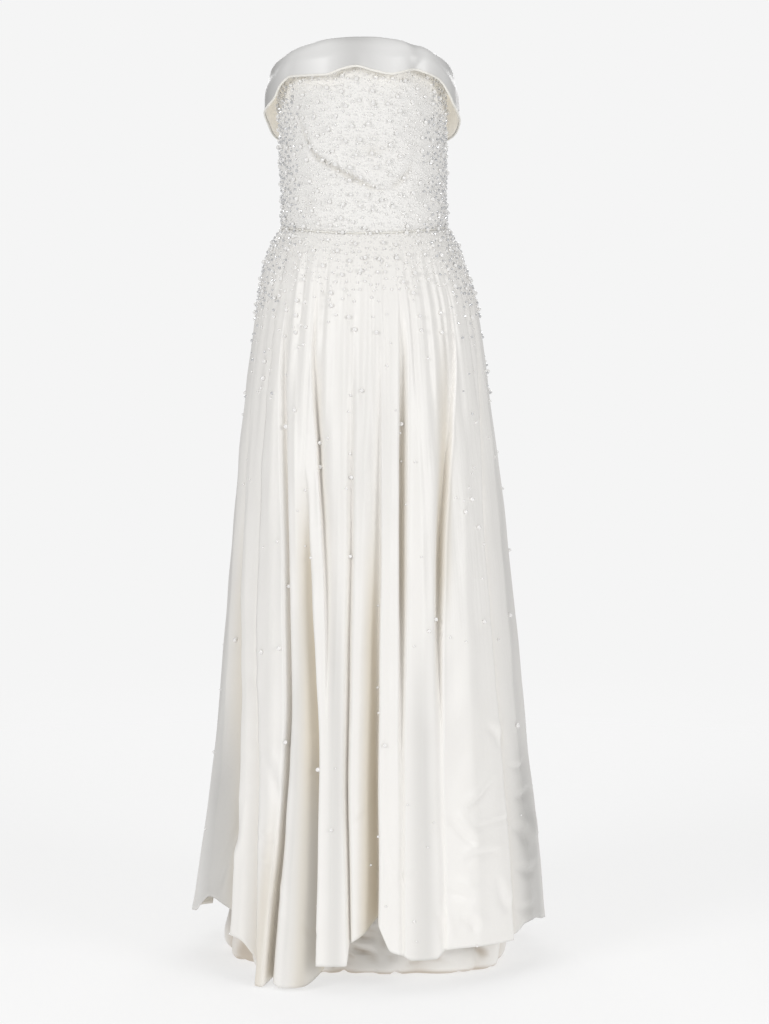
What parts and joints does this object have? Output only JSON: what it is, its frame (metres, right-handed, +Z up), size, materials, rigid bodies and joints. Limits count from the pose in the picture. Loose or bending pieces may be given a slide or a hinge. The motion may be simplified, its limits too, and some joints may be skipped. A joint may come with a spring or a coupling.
{
  "type": "wedding dress",
  "caption": "Strapless floor-length wedding dress with a beaded bodice, a turned-down satin collar and a full folded skirt over an underskirt, filled out as if worn.",
  "frame": {"origin": "centre of the waist seam at the height of its front, inside the bodice, where the wearer's waist holds the dress up", "axes": "+Z up from hem to neckline, -Y the front of the dress, +X the wearer's left"},
  "size_m": [0.5404, 0.5617, 1.4],
  "materials": {
    "beaded_satin": "ivory satin sewn all over with small pearls and crystals",
    "collar_satin": "smooth ivory satin over an interlining, with a cream facing",
    "skirt_satin": "heavy ivory satin with a soft sheen and scattered pearls",
    "lining_satin": "cream lining satin, duller than the skirt"
  },
  "bodies": {
    "root": {"bodice_front": "beaded_satin", "bodice_back_left": "beaded_satin", "bodice_back_right": "beaded_satin", "collar": "collar_satin", "skirt_front": "skirt_satin", "skirt_back_left": "skirt_satin", "skirt_back_right": "skirt_satin", "underskirt": "lining_satin"}
  },
  "joints": []
}
